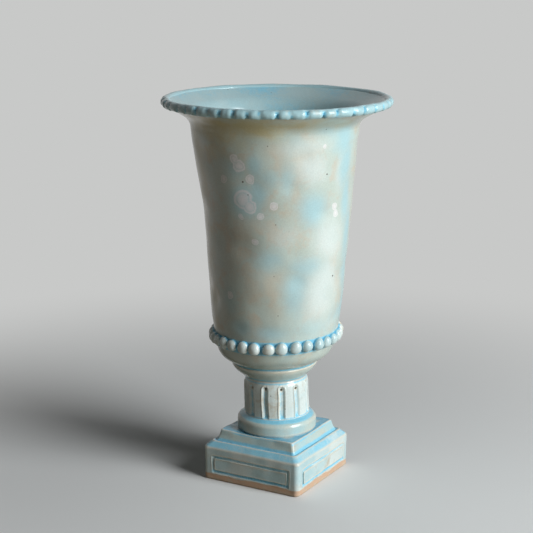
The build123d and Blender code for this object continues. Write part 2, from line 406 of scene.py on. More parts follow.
# Ochre clouds: glaze colour, and painted shade under the flange and down the shaded left side
OCHRE_AND_PAINTED_SHADE_CLOUDS = (
    (-106, 264, 30, 12, 0.95), (-78, 266, 28, 9, 0.9), (-52, 268, 28, 6, 0.6), (-22, 268, 28, 5, 0.45),
    (-108, 248, 16, 10, 0.6), (-84, 254, 12, 7, 0.5), (-130, 240, 13, 40, 0.85), (-138, 195, 16, 60, 0.9),
    (-134, 140, 14, 40, 0.8), (150, 258, 40, 8, 0.6), (60, 260, 36, 5, 0.5), (-165, 200, 12, 60, 0.4))


def clouds(place, spots):
    """Strength of a set of soft coloured clouds on the wall at each point."""
    radius, turn = polar(place)
    total = np.zeros(len(place))
    for where, height, wide, high, strength in spots:
        across = np.angle(np.exp(1j * (turn - math.radians(where)))) * radius / wide
        far = across ** 2 + ((place[:, 2] - height) / high) ** 2
        total = np.maximum(total, strength * np.exp(-far * 0.9))
    return total


def tint_clouds(piece, outside, lining=()):
    """Store the clouds on the outside of a piece, and pale blue with other cream clouds on its lining. The
    ochre clouds are partly painted shade, and the lining clouds given for the flange are partly painted
    light.
    """
    place = places(piece)
    tint(piece, "sky_cloud", clouds(place, SKY_CLOUDS) * outside + 0.8 * ~outside)
    tint(piece, "cream_cloud", clouds(place, CREAM_CLOUDS) * outside + clouds(place, lining) * ~outside)
    tint(piece, "beige_cloud", clouds(place, BEIGE_CLOUDS) * outside)
    # Ochre clouds, partly painted shade under the flange and down the left side
    tint(piece, "ochre_and_painted_shade_cloud", clouds(place, OCHRE_AND_PAINTED_SHADE_CLOUDS) * outside)


def finish(piece, nodes, material, sharp=38):
    """Lean a piece with the stack, smooth it, glaze it and seat it in the frame."""
    put(piece, sway(places(piece)))
    bpy.ops.object.select_all(action="DESELECT")
    piece.select_set(True)
    bpy.context.view_layer.objects.active = piece
    bpy.ops.object.shade_smooth_by_angle(angle=math.radians(sharp))
    piece.data.materials.clear()
    piece.data.materials.append(material)
    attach(piece, "root")
    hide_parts(*nodes)


def add(tree, kind, inputs=None, **settings):
    """Add a node to a material, with its settings and its values or links."""
    node = tree.nodes.new(kind)
    for name, value in settings.items():
        setattr(node, name, value)
    for socket, value in (inputs or {}).items():
        if isinstance(value, bpy.types.NodeSocket):
            tree.links.new(value, node.inputs[socket])
        else:
            node.inputs[socket].default_value = value
    return node


# Noises of the glaze, as size in millimetres and detail: drift, mottle, fleck and grain
NOISES = ((46, 3), (17, 4), (3.2, 3), (0.9, 2))
SWELL_SIZE = 7
SPECK_SPACING = 9
GLAZE_IOR = 1.52
CLAY_ROUGHNESS = 0.8

# Strength of a bloom from its middle to its edge, and how noise of a size in millimetres shifts it
BLOOM_RINGS = ((0.0, 0.85), (0.45, 0.62), (0.62, 0.3), (0.78, 0.75), (0.9, 0.45), (1.0, 0.0))
BLOOM_LIMIT = 1000.0
WARP_SIZE = 5
WARP_REACH = 3.0

# Blooms on the wall: turn in degrees, height and radius in millimetres
BLOOMS = (
    (-85.9, 215.2, 7.6), (-81.0, 210.5, 5.5), (-90.5, 243.4, 3.6), (-87.0, 239.0, 5.0),
    (-79.7, 229.7, 3.4), (-62.8, 211.4, 3.2), (-100.5, 228.3, 3.2), (-12.6, 208.0, 2.8),
    (-11.0, 203.0, 3.0), (-27.3, 251.5, 1.8), (-73.0, 203.8, 2.8), (-88.3, 202.6, 2.2),
    (-77.6, 185.7, 2.4), (-102.2, 144.8, 3.0))

# Iron specks on the wall: turn in degrees, height and radius in millimetres
SPECKS = (
    (-66.7, 253.3, 0.62), (-91.1, 238.5, 0.75), (-85.2, 227.6, 0.7), (-23.4, 232.0, 0.6),
    (-117.2, 250.0, 0.5), (-61.5, 198.4, 0.45), (-51.6, 193.5, 0.5), (-8.4, 157.4, 0.7),
    (-62.9, 161.3, 0.55), (-43.2, 152.3, 0.45), (-109.1, 144.7, 0.45), (-59.6, 132.8, 0.4))


def torn_clouds(tree, cast, paint, drift, mottle):
    """Lay the wall's coloured clouds over a colour, with edges torn by the noise."""
    torn = add(tree, "ShaderNodeMath", {0: drift, 1: mottle}, operation="ADD").outputs[0]
    torn = add(tree, "ShaderNodeMath", {0: torn, 1: 0.8, 2: -0.8}, operation="MULTIPLY_ADD").outputs[0]
    # The ochre clouds lay painted shade as well as the glaze's ochre
    for key in ("beige", "cream", "sky", "ochre_and_painted_shade"):
        cloud = add(tree, "ShaderNodeAttribute", attribute_name=f"{key}_cloud").outputs["Fac"]
        ragged = add(tree, "ShaderNodeMath", {0: cloud, 1: torn}, operation="ADD").outputs[0]
        mask = add(tree, "ShaderNodeMapRange", {
            "Value": ragged, "From Min": 0.05, "From Max": 1.0, "To Max": 0.95},
            interpolation_type="SMOOTHSTEP").outputs[0]
        cast = add(tree, "ShaderNodeMix", {0: mask, 6: cast, 7: paint[key]}, data_type="RGBA").outputs[2]
    return cast


def blooms(tree, spot):
    """Strength of the blooms: crystals that grew outwards in the cooling glaze, in rings."""
    warp = add(tree, "ShaderNodeTexNoise", {
        "Vector": spot, "Scale": 1 / (WARP_SIZE * MM), "Detail": 2}).outputs["Color"]
    shift = add(tree, "ShaderNodeVectorMath", {0: warp, 1: (0.5, 0.5, 0.5)}, operation="SUBTRACT").outputs[0]
    shift = add(tree, "ShaderNodeVectorMath", {0: shift, 3: WARP_REACH * MM}, operation="SCALE").outputs[0]
    warped = add(tree, "ShaderNodeVectorMath", {0: spot, 1: shift}, operation="ADD").outputs[0]
    nearest = BLOOM_LIMIT
    for turn, height, size in BLOOMS:
        far = add(tree, "ShaderNodeVectorMath", {
            0: warped, 1: on_wall(turn, height)}, operation="DISTANCE").outputs["Value"]
        far = add(tree, "ShaderNodeMath", {0: far, 1: size * MM}, operation="DIVIDE").outputs[0]
        nearest = add(tree, "ShaderNodeMath", {0: far, 1: nearest}, operation="MINIMUM").outputs[0]
    ring = add(tree, "ShaderNodeValToRGB", {"Fac": nearest})
    ramp = ring.color_ramp
    while len(ramp.elements) < len(BLOOM_RINGS):
        ramp.elements.new(0.5)
    for element, (place, strength) in zip(ramp.elements, BLOOM_RINGS):
        element.position = place
        element.color = (strength, strength, strength, 1)
    return ring.outputs["Color"]


def iron_specks(tree, spot, placed):
    """Where iron burns through: fine specks in a fifth of the noise's cells, and those listed."""
    cells = add(tree, "ShaderNodeTexVoronoi", {"Vector": spot, "Scale": 1 / (SPECK_SPACING * MM)})
    chosen = add(tree, "ShaderNodeSeparateColor", {"Color": cells.outputs["Color"]}).outputs["Red"]
    chosen = add(tree, "ShaderNodeMath", {0: chosen, 1: 0.8}, operation="GREATER_THAN").outputs[0]
    near = add(tree, "ShaderNodeMapRange", {
        "Value": cells.outputs["Distance"], "From Min": 0.055, "From Max": 0.03}).outputs[0]
    speck = add(tree, "ShaderNodeMath", {0: near, 1: chosen}, operation="MULTIPLY").outputs[0]
    for turn, height, size in placed:
        far = add(tree, "ShaderNodeVectorMath", {
            0: spot, 1: on_wall(turn, height)}, operation="DISTANCE").outputs["Value"]
        near = add(tree, "ShaderNodeMapRange", {
            "Value": far, "From Min": size * MM * 1.15, "From Max": size * MM * 0.7}).outputs[0]
        speck = add(tree, "ShaderNodeMath", {0: speck, 1: near}, operation="MAXIMUM").outputs[0]
    return speck


def bare_clay(tree, spot, paint, mottle, fleck, level):
    """Where the foot was wiped bare of glaze up to a level in millimetres, and the clay's colour there."""
    height = add(tree, "ShaderNodeSeparateXYZ", {"Vector": spot}).outputs["Z"]
    edge = add(tree, "ShaderNodeMath", {
        0: mottle, 1: -5.0 * MM, 2: height}, operation="MULTIPLY_ADD").outputs[0]
    bare = add(tree, "ShaderNodeMapRange", {
        "Value": edge, "From Min": (level - 2.2) * MM, "From Max": (level - 2.9) * MM}).outputs[0]
    low = add(tree, "ShaderNodeMath", {
        0: height, 1: -0.07 / MM, 2: fleck}, operation="MULTIPLY_ADD").outputs[0]
    chalk = add(tree, "ShaderNodeMapRange", {
        "Value": low, "From Min": 0.3, "From Max": 0.62, "To Max": 0.85}).outputs[0]
    earth = add(tree, "ShaderNodeMix", {
        0: chalk, 6: paint["clay"], 7: paint["beige"]}, data_type="RGBA").outputs[2]
    return bare, earth


def glaze(name, base="celadon", beige=0.5, sky=0.4, clouded=False, bare_foot=0.0):
    """Celadon glaze, dipped and fired glossy over buff stoneware.

    It is grey green with beige and pale blue mottling. It runs off ridges, which show beige,
    and pools strong blue in hollows. Iron in the clay burns through as dark specks.
    """
    palette = bpy.context.scene.vase_colours
    paint = {key: (*getattr(palette, key), 1) for key in VaseColours.__annotations__}
    material = bpy.data.materials.new(name)
    material.use_nodes = True
    tree = material.node_tree
    shader = tree.nodes["Principled BSDF"]
    spot = add(tree, "ShaderNodeTexCoord").outputs["Object"]
    drift, mottle, fleck, grain = (
        add(tree, "ShaderNodeTexNoise", {
            "Vector": spot, "Scale": 1 / (size * MM), "Detail": detail, "Roughness": 0.55,
            "Distortion": 0.4}).outputs["Fac"]
        for size, detail in NOISES)
    # Beige and pale blue mottling over the base colour
    mixed = add(tree, "ShaderNodeMath", {0: fleck, 1: 0.25, 2: mottle}, operation="MULTIPLY_ADD").outputs[0]
    beiges = add(tree, "ShaderNodeMapRange", {
        "Value": mixed, "From Min": 0.78 - 0.4 * beige, "From Max": 0.98 - 0.4 * beige},
        interpolation_type="SMOOTHSTEP").outputs[0]
    cast = add(tree, "ShaderNodeMix", {
        0: beiges, 6: paint[base], 7: paint["beige"]}, data_type="RGBA").outputs[2]
    skies = add(tree, "ShaderNodeMapRange", {
        "Value": drift, "From Min": 0.72 - 0.4 * sky, "From Max": 0.95 - 0.4 * sky, "To Max": 0.8},
        interpolation_type="SMOOTHSTEP").outputs[0]
    cast = add(tree, "ShaderNodeMix", {0: skies, 6: cast, 7: paint["sky"]}, data_type="RGBA").outputs[2]
    if clouded:
        cast = torn_clouds(tree, cast, paint, drift, mottle)
        cast = add(tree, "ShaderNodeMix", {
            0: blooms(tree, spot), 6: cast, 7: paint["bloom"]}, data_type="RGBA").outputs[2]
    # Blue pools in the hollows, and thin glaze on the ridges
    for layer, key, low, high, most in (
            ("pool", "shallow", 0.3, 0.75, 0.9), ("pool", "pool", 0.7, 1.35, 0.9),
            ("thin", "worn", 0.45, 1.15, 0.75)):
        depth = add(tree, "ShaderNodeAttribute", attribute_name=layer).outputs["Fac"]
        depth = add(tree, "ShaderNodeMath", {
            0: fleck, 1: 0.5, 2: depth}, operation="MULTIPLY_ADD").outputs[0]
        depth = add(tree, "ShaderNodeMapRange", {
            "Value": depth, "From Min": low, "From Max": high, "To Max": most},
            interpolation_type="SMOOTHSTEP").outputs[0]
        cast = add(tree, "ShaderNodeMix", {0: depth, 6: cast, 7: paint[key]}, data_type="RGBA").outputs[2]
    speck = iron_specks(tree, spot, SPECKS if clouded else ())
    cast = add(tree, "ShaderNodeMix", {0: speck, 6: cast, 7: paint["iron"]}, data_type="RGBA").outputs[2]
    shade = add(tree, "ShaderNodeMapRange", {
        "Value": grain, "From Min": 0.3, "From Max": 0.7, "To Min": 0.93, "To Max": 1.05}).outputs[0]
    cast = add(tree, "ShaderNodeVectorMath", {0: cast, 3: shade}, operation="SCALE").outputs[0]
    # Glossy, a little uneven, with the soft swell of a thick glaze
    rough = add(tree, "ShaderNodeMapRange", {
        "Value": mottle, "From Min": 0.35, "From Max": 0.65, "To Min": 0.12, "To Max": 0.26}).outputs[0]
    swell = add(tree, "ShaderNodeTexNoise", {
        "Vector": spot, "Scale": 1 / (SWELL_SIZE * MM), "Detail": 1}).outputs["Fac"]
    relief = add(tree, "ShaderNodeMath", {0: grain, 1: 0.06, 2: swell}, operation="MULTIPLY_ADD").outputs[0]
    if bare_foot:
        bare, earth = bare_clay(tree, spot, paint, mottle, fleck, bare_foot)
        cast = add(tree, "ShaderNodeMix", {0: bare, 6: cast, 7: earth}, data_type="RGBA").outputs[2]
        rough = add(tree, "ShaderNodeMix", {
            0: bare, 2: rough, 3: CLAY_ROUGHNESS}, data_type="FLOAT").outputs[0]
    bump = add(tree, "ShaderNodeBump", {
        "Height": relief, "Strength": 0.5, "Distance": 0.25 * MM}).outputs[0]
    for socket, value in (("Base Color", cast), ("Roughness", rough), ("Normal", bump)):
        tree.links.new(value, shader.inputs[socket])
    shader.inputs["IOR"].default_value = GLAZE_IOR
    return material


def background_rays(tree):
    """Factor that is 1 for rays from the camera and from gloss or glass, and 0 for light on the vase."""
    path = add(tree, "ShaderNodeLightPath").outputs
    seen = add(tree, "ShaderNodeMath", {
        0: path["Is Camera Ray"], 1: path["Is Glossy Ray"]}, operation="ADD").outputs[0]
    return add(tree, "ShaderNodeMath", {
        0: seen, 1: path["Is Transmission Ray"]}, operation="ADD", use_clamp=True).outputs[0]


class VASE_OT_stage(bpy.types.Operator):
    """Add the floor that is also the backdrop, the world, the window lamp and the camera"""
    bl_idname = "vase.stage"
    bl_label = "Stage"

    card_colour = "#ecedec"
    bounce_colour = "#9f9381"
    pale_colour = "#c8c9c8"
    fade_start = 0.12
    fade_end = 0.6
    world_light = 0.07
    window_turn = math.radians(-5)
    window_rise = math.radians(20)
    window_distance = 1.6
    window_aim = 0.15
    window_wide = 0.8
    window_tall = 1.3
    window_power = 36
    window_colour = "#fafdff"

    def execute(self, context):
        bpy.ops.object.select_all(action="DESELECT")
        bpy.ops.mesh.primitive_plane_add(size=24, location=(0, 0, 0))
        floor = context.object
        floor.name = "floor"
        # Matt card that holds the shadow. The camera sees it fade to an even pale backdrop, and what
        # it throws back at the vase is warmer and dimmer than it looks.
        material = bpy.data.materials.new("matt_card")
        material.use_nodes = True
        floor.data.materials.append(material)
        card, bounce, pale = (
            (*linear(value), 1) for value in (self.card_colour, self.bounce_colour, self.pale_colour))
        tree = material.node_tree
        shader = tree.nodes["Principled BSDF"]
        shader.inputs["Roughness"].default_value = 0.9
        shader.inputs["Specular IOR Level"].default_value = 0.2
        spot = add(tree, "ShaderNodeTexCoord").outputs["Object"]
        away = add(tree, "ShaderNodeVectorMath", {0: spot}, operation="LENGTH").outputs["Value"]
        far = add(tree, "ShaderNodeMapRange", {
            "Value": away, "From Min": self.fade_start, "From Max": self.fade_end},
            interpolation_type="SMOOTHSTEP").outputs[0]
        rays = background_rays(tree)
        shown = add(tree, "ShaderNodeMix", {0: rays, 6: bounce, 7: card}, data_type="RGBA").outputs[2]
        tree.links.new(shown, shader.inputs["Base Color"])
        seen = add(tree, "ShaderNodeMath", {0: far, 1: rays}, operation="MULTIPLY").outputs[0]
        backdrop = add(tree, "ShaderNodeEmission", {"Color": pale}).outputs[0]
        blend = add(tree, "ShaderNodeMixShader", {0: seen, 1: shader.outputs[0], 2: backdrop}).outputs[0]
        tree.links.new(blend, tree.nodes["Material Output"].inputs["Surface"])
        # The world lights the vase faintly, and shows the camera and the gloss a pale studio.
        world = bpy.data.worlds.new("studio")
        context.scene.world = world
        world.use_nodes = True
        tree = world.node_tree
        back = tree.nodes["Background"]
        back.inputs["Color"].default_value = pale
        shown = add(tree, "ShaderNodeMapRange", {
            "Value": background_rays(tree), "To Min": self.world_light, "To Max": 1}).outputs[0]
        tree.links.new(shown, back.inputs["Strength"])
        turn, rise, away = self.window_turn, self.window_rise, self.window_distance
        window = bpy.data.lights.new("window", "AREA")
        window.shape = "RECTANGLE"
        window.size = self.window_wide
        window.size_y = self.window_tall
        window.energy = self.window_power
        window.color = linear(self.window_colour)
        lamp = bpy.data.objects.new("window", window)
        context.scene.collection.objects.link(lamp)
        lamp.location = (
            away * math.cos(rise) * math.cos(turn), away * math.cos(rise) * math.sin(turn),
            self.window_aim + away * math.sin(rise))
        lamp.rotation_euler = (math.pi / 2 - rise, 0, turn + math.pi / 2)
        data = bpy.data.cameras.new("camera")
        data.lens = CAMERA_LENS
        data.clip_start = 0.05
        camera = bpy.data.objects.new("camera", data)
        context.scene.collection.objects.link(camera)
        stand = math.radians(CAMERA_TURN)
        camera.location = (
            CAMERA_DISTANCE * math.sin(stand), -CAMERA_DISTANCE * math.cos(stand), CAMERA_HEIGHT)
        camera.rotation_euler = (
            math.radians(90 - CAMERA_PITCH), 0, stand + math.radians(CAMERA_PAN))
        context.scene.camera = camera
        context.scene.view_settings.view_transform = "Standard"
        return {"FINISHED"}


class VASE_OT_plinth(bpy.types.Operator):
    """Build the slab plinth as one glazed skin over its four walls and top"""
    bl_idname = "vase.plinth"
    bl_label = "Plinth"

    corner_round = 3.4
    bevel = 4.2
    panel_half = 31.2
    panel_middle = 12.2
    panel_rise = 5.6

    def execute(self, context):
        sizes = context.scene.vase_sizes
        half = PLINTH_HALF
        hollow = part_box("plinth_wall_right")[0].x / MM
        top = STEP_SEAT
        points = outline((
            (half, 0, 1.2, 0.6), (half, top - self.bevel - 0.2, 1.0, 0.55),
            (half - self.bevel, top + 0.2, 0.8, 0.4),
            (half - self.bevel - 1.5, top - 0.4, 1.3, 0.5), (STEP_HALF - 1.5, top - 0.3, 0, 2.0),
            (BORE, top - 0.3, 0, 2.0),
            (BORE, WALLS_TOP, 0, 2.0), (hollow, WALLS_TOP, 0, 2.0), (hollow, 0, 0.6, 1.0)))
        piece = spun("plinth_block", points, 720)

        def rule(radius, turn, height):
            radius, turn, _ = squared(radius, turn, self.corner_round, 8)
            place = points_at(radius, turn, height)
            along, out = face_place(radius, turn)
            outer = smooth(hollow + 2, hollow + 4, out)
            line = sizes.panel_line / MM
            wave = 0.3 * ripple(place, 14, 3.1)
            side = np.abs(along + wave) - self.panel_half
            rise = np.abs(height + wave - self.panel_middle) - self.panel_rise
            far = np.where(
                (side > 0) & (rise > 0), np.hypot(np.maximum(side, 0), np.maximum(rise, 0)),
                np.maximum(side, rise))
            near = np.abs(far) / (0.5 * line)
            groove = sizes.panel_depth / MM * (1 - smooth(0.45, 1.05, near))
            lip = 0.12 * np.exp(-((near - 1.35) / 0.35) ** 2)
            face = smooth(half - 0.6, half - 0.2, out) * smooth(1.2, 2.4, height)
            lumps = 0.32 * ripple(place, 22, 1.3) + 0.12 * ripple(place, 7, 5.2)
            push = face * (lip - groove) + outer * lumps * smooth(0, 6, height)
            scale = 1 + push / np.maximum(out, 1)
            radius = radius * np.where(outer > 0, scale, 1)
            lift = smooth(WALLS_TOP, top, height) * (0.35 * ripple(place, 18, 7.7))
            return radius, turn, height + lift * outer

        reshape(piece, rule)

        def pooled(place):
            along, out = face_place(*polar(place))
            bevel = smooth(24, 25.5, place[:, 2]) * (0.75 + 0.4 * ripple(place, 20, 2.2))
            gutter = smooth(STEP_SEAT - 2.0, STEP_SEAT - 1.0, place[:, 2]) * (1 - smooth(33.0, 34.6, out))
            line = (np.abs(along) < self.panel_half + 1.8) & (out > half - 3)
            rise = place[:, 2] - self.panel_middle
            under = 0.4 * np.exp(-((rise + self.panel_rise - 0.2) / 1.2) ** 2)
            above = 0.15 * np.exp(-((rise - self.panel_rise - 0.1) / 0.9) ** 2)
            return (0.55 * bevel + 0.5 * gutter + (under + above) * line) * (out > hollow)

        marks(piece, pooled, deep=3, high=0.4)
        walls = [f"plinth_wall_{side}" for side in ("front", "right", "back", "left")]
        finish(piece, (*walls, "plinth_top"), glaze(
            "plinth_celadon_glaze", base="cream", beige=0.3, sky=0.75, bare_foot=4.9))
        return {"FINISHED"}


class VASE_OT_step(bpy.types.Operator):
    """Build the step slab"""
    bl_idname = "vase.step"
    bl_label = "Step"

    corner_round = 2.2

    def execute(self, context):
        points = outline((
            (STEP_HALF + 0.6, STEP_SEAT - 1.6, 0, 0.5), (STEP_HALF - 0.6, STEP_SEAT + 0.5, 0.8, 0.5),
            (31.7, STEP_SEAT + 2.7, 1.2, 0.5), (30.0, STEP_TOP - 0.2, 1.2, 0.4),
            (28.6, STEP_TOP - 0.5, 1.4, 0.8), (24.0, STEP_TOP - 0.6, 0, 2.0),
            (BORE, STEP_TOP - 0.6, 0, 2.0), (BORE, STEP_SEAT - 1.6, 0, 2.0)))
        piece = spun("step_slab", points, 560)

        def rule(radius, turn, height):
            radius, turn, square = squared(radius, turn, self.corner_round, 6)
            place = points_at(radius, turn, height)
            corner = smooth(0.55, 1.0, np.abs(np.sin(2 * turn)) ** 2)
            upper = smooth(STEP_SEAT + 3, STEP_TOP, height)
            lumps = 0.3 * ripple(place, 20, 4.1) + 0.1 * ripple(place, 6, 0.7)
            radius = radius + square * lumps + 0.5 * corner * upper
            lift = upper * square * (0.55 * corner + 0.3 * ripple(place, 16, 6.4))
            return radius, turn, height + lift

        reshape(piece, rule)

        def pooled(place):
            out = face_place(*polar(place))[1]
            top = smooth(STEP_TOP - 2.6, STEP_TOP - 1.8, place[:, 2]) * (1 - smooth(29.6, 31.2, out))
            return 0.75 * top + 0.55 * (1 - smooth(STEP_SEAT + 0.5, STEP_SEAT + 2.4, place[:, 2]))

        marks(piece, pooled, rounds=5, deep=0.9, high=0.22)
        finish(piece, ("plinth_step",), glaze("step_celadon_glaze", beige=0.3, sky=0.9))
        return {"FINISHED"}


class VASE_OT_base_ring(bpy.types.Operator):
    """Build the thick ring under the stem"""
    bl_idname = "vase.base_ring"
    bl_label = "Base ring"

    def execute(self, context):
        points = outline((
            (RING_RADIUS - 1.4, RING_SEAT - 0.8, 0, 0.4), (RING_RADIUS + 0.1, RING_SEAT + 0.9, 1.0, 0.4),
            (RING_RADIUS, RING_SEAT + 8.3, 2.2, 0.35), (STEM_RADIUS + 1.0, RING_TOP - 0.1, 0.8, 0.4),
            (STEM_RADIUS - 0.6, RING_TOP + 0.8, 0, 1.5), (BORE, RING_TOP + 0.8, 0, 2.0),
            (BORE, RING_SEAT - 0.8, 0, 2.0)))
        piece = spun("foot_ring", points, 320)

        def rule(radius, turn, height):
            place = points_at(radius, turn, height)
            outer = smooth(STEM_RADIUS, STEM_RADIUS + 3, radius)
            lumps = 0.28 * ripple(place, 20, 2.7) + 0.08 * ripple(place, 6, 1.9)
            return radius + outer * lumps, turn, height + outer * 0.25 * ripple(place, 17, 5.5)

        reshape(piece, rule)

        def pooled(place):
            foot = 1 - smooth(RING_SEAT + 0.2, RING_SEAT + 1.8, place[:, 2])
            top = smooth(RING_TOP - 2.4, RING_TOP - 0.8, place[:, 2])
            return 0.7 * foot + 0.6 * top

        marks(piece, pooled)
        finish(piece, ("base_ring",), glaze("ring_celadon_glaze", beige=0.35, sky=0.9))
        return {"FINISHED"}


class VASE_OT_stem(bpy.types.Operator):
    """Build the fluted stem and pierce it with the needle"""
    bl_idname = "vase.stem"
    bl_label = "Stem"

    flute_count = 12
    flute_turn = 9.5
    flute_length = 25.4
    hole_height = 22.8
    needle_reach = 9

    def execute(self, context):
        sizes = context.scene.vase_sizes
        width = sizes.flute_width / MM
        depth = sizes.flute_depth / MM
        points = outline((
            (STEM_RADIUS + 0.5, STEM_SEAT - 0.5, 0, 0.45), (STEM_RADIUS, STEM_SEAT + 2.0, 2.0, 0.45),
            (STEM_RADIUS - 0.3, STEM_TOP - 4.5, 2.5, 0.45), (22.2, STEM_TOP + 0.4, 0, 1.5),
            (BORE, STEM_TOP + 0.4, 0, 2.0), (BORE, STEM_SEAT - 0.5, 0, 2.0)))
        piece = spun("fluted_tube", points, 600)
        flute_top = STEM_SEAT + self.flute_length

        def rule(radius, turn, height):
            place = points_at(radius, turn, height)
            outer = smooth(BORE + 1, BORE + 3, radius)
            pitch = TURN / self.flute_count
            k = np.round((turn - math.radians(self.flute_turn)) / pitch)
            drift = 0.22 * np.sin(height / 4.3 + 2.1 * k) + 0.15 * np.sin(3.3 * k)
            across = (turn - math.radians(self.flute_turn) - k * pitch) * STEM_RADIUS + drift
            over = np.maximum(height - (flute_top - 0.5 * width), 0)
            far = np.hypot(across, over) / (0.5 * width)
            lip = 0.27 * np.exp(-((far - 1.16) / 0.17) ** 2) * (1 - 0.6 * np.sign(across))
            cut = lip - depth * (1 - smooth(0.3, 1.0, far))
            foot = smooth(STEM_SEAT + 0.2, STEM_SEAT + 2.2, height)
            top = 1 - smooth(flute_top + 0.8, flute_top + 2.0, height)
            lumps = 0.2 * ripple(place, 15, 1.1)
            return radius + outer * (cut * foot * top + lumps), turn, height

        reshape(piece, rule)
        needles = []
        for k in range(self.flute_count):
            angle = math.radians(self.flute_turn) + TURN * k / self.flute_count
            reach = (STEM_RADIUS - 2) * MM
            bpy.ops.mesh.primitive_cylinder_add(
                vertices=24, radius=sizes.needle / 2, depth=self.needle_reach * MM,
                location=(
                    reach * math.cos(angle), reach * math.sin(angle),
                    (STEM_SEAT + self.hole_height + 0.4 * math.sin(2.2 * k)) * MM),
                rotation=(0, math.pi / 2, angle))
            needles.append(context.object)
        tool = join(needles)
        cut = piece.modifiers.new("needle holes", "BOOLEAN")
        cut.operation = "DIFFERENCE"
        cut.solver = "EXACT"
        cut.object = tool
        bpy.ops.object.select_all(action="DESELECT")
        piece.select_set(True)
        context.view_layer.objects.active = piece
        bpy.ops.object.modifier_apply(modifier=cut.name)
        bpy.data.objects.remove(tool)

        def pooled(place):
            foot = 1 - smooth(STEM_SEAT, STEM_SEAT + 2.2, place[:, 2])
            top = smooth(STEM_TOP - 2.5, STEM_TOP + 0.2, place[:, 2])
            across = polar(place)[1] - math.radians(self.flute_turn)
            across = np.angle(np.exp(1j * across * self.flute_count)) / self.flute_count * STEM_RADIUS
            flute = np.exp(-((across + 0.4) / (0.36 * width)) ** 2)
            flute = flute * (1 - smooth(flute_top - 2, flute_top, place[:, 2]))
            return 0.8 * foot + 0.75 * top + 0.16 * flute * (1 - foot)

        marks(piece, pooled, rounds=8, deep=0.6, high=0.3)
        finish(piece, ("fluted_stem",), glaze(
            "stem_celadon_glaze", base="cream", beige=0.35, sky=0.45))
        return {"FINISHED"}


class VASE_OT_collar(bpy.types.Operator):
    """Build the swelling collar"""
    bl_idname = "vase.collar"
    bl_label = "Collar"

    def execute(self, context):
        points = outline((
            (22.2, COLLAR_SEAT - 0.2, 0, 0.45), (24.0, COLLAR_SEAT + 2.4, 3.0, 0.45),
            (30.2, COLLAR_SEAT + 7.2, 4.0, 0.45), (COLLAR_RADIUS + 0.2, COLLAR_TOP - 0.6, 1.0, 0.35),
            (COLLAR_RADIUS - 1.2, COLLAR_TOP + 0.1, 0.8, 0.4), (29.6, COLLAR_TOP - 0.2, 0, 2.0),
            (BORE, COLLAR_TOP - 0.2, 0, 2.0), (BORE, COLLAR_SEAT - 0.2, 0, 2.0)))
        piece = spun("collar_cup", points, 280)

        def rule(radius, turn, height):
            place = points_at(radius, turn, height)
            outer = smooth(BORE + 1, BORE + 5, radius)
            lumps = 0.3 * ripple(place, 22, 0.4) + 0.08 * ripple(place, 6, 1.1)
            return radius + outer * lumps, turn, height + outer * 0.25 * ripple(place, 24, 3.3)

        reshape(piece, rule)

        def pooled(place):
            foot = 1 - smooth(COLLAR_SEAT + 0.4, COLLAR_SEAT + 3.6, place[:, 2])
            top = smooth(COLLAR_TOP - 0.5, COLLAR_TOP, place[:, 2])
            return 0.75 * foot + 0.4 * top

        marks(piece, pooled)
        finish(piece, ("stem_collar",), glaze("collar_celadon_glaze", beige=0.25, sky=0.65))
        return {"FINISHED"}


class VASE_OT_bowl(bpy.types.Operator):
    """Build the bowl under the belt"""
    bl_idname = "vase.bowl"
    bl_label = "Bowl"

    floor_height = 5.5
    belt_height = 14.3
    belt_radius = 43.6

    def execute(self, context):
        thick = context.scene.vase_sizes.wall_thickness / MM
        floor = BOWL_SEAT + self.floor_height
        belt = BOWL_SEAT + self.belt_height
        points = outline((
            (30.6, BOWL_SEAT - 0.3, 0, 0.5), (30.9, BOWL_SEAT + 0.9, 0.6, 0.5),
            (40.3, BOWL_SEAT + 5.6, 7.5, 0.5), (self.belt_radius, belt, 5, 0.7),
            (BOWL_RADIUS, BOWL_TOP, 0, 2.0), (BOWL_RADIUS - thick, BOWL_TOP, 0, 1.5),
            (self.belt_radius - thick, belt, 4, 1.5), (36.0, floor + 1.0, 9, 1.5),
            (4, floor, 3, 3.0), (0, floor, 0, 4), (0, BOWL_SEAT - 0.3, 0, 4)))
        piece = spun("bowl_shell", points, 256)

        def rule(radius, turn, height):
            place = points_at(radius, turn, height)
            outer = smooth(28, 33, radius) * (1 - smooth(belt, BOWL_TOP, height))
            lumps = 0.35 * ripple(place, 26, 0.9) + 0.1 * ripple(place, 8, 2.3)
            return radius + outer * lumps, turn, height

        reshape(piece, rule)

        def pooled(place):
            out = polar(place)[0]
            groove = (1 - smooth(BOWL_SEAT + 0.4, BOWL_SEAT + 1.8, place[:, 2])) * smooth(29, 30, out)
            seat = smooth(belt + 0.2, belt + 2.5, place[:, 2]) * smooth(41, 42.5, out)
            seat = seat * (1 - smooth(BEAD_TOP - 1.2, BEAD_TOP + 0.8, place[:, 2]))
            return 0.6 * groove + 0.75 * seat

        marks(piece, pooled, deep=9, high=9)
        finish(piece, ("bowl",), glaze("bowl_celadon_glaze", beige=0.45, sky=0.55))
        return {"FINISHED"}


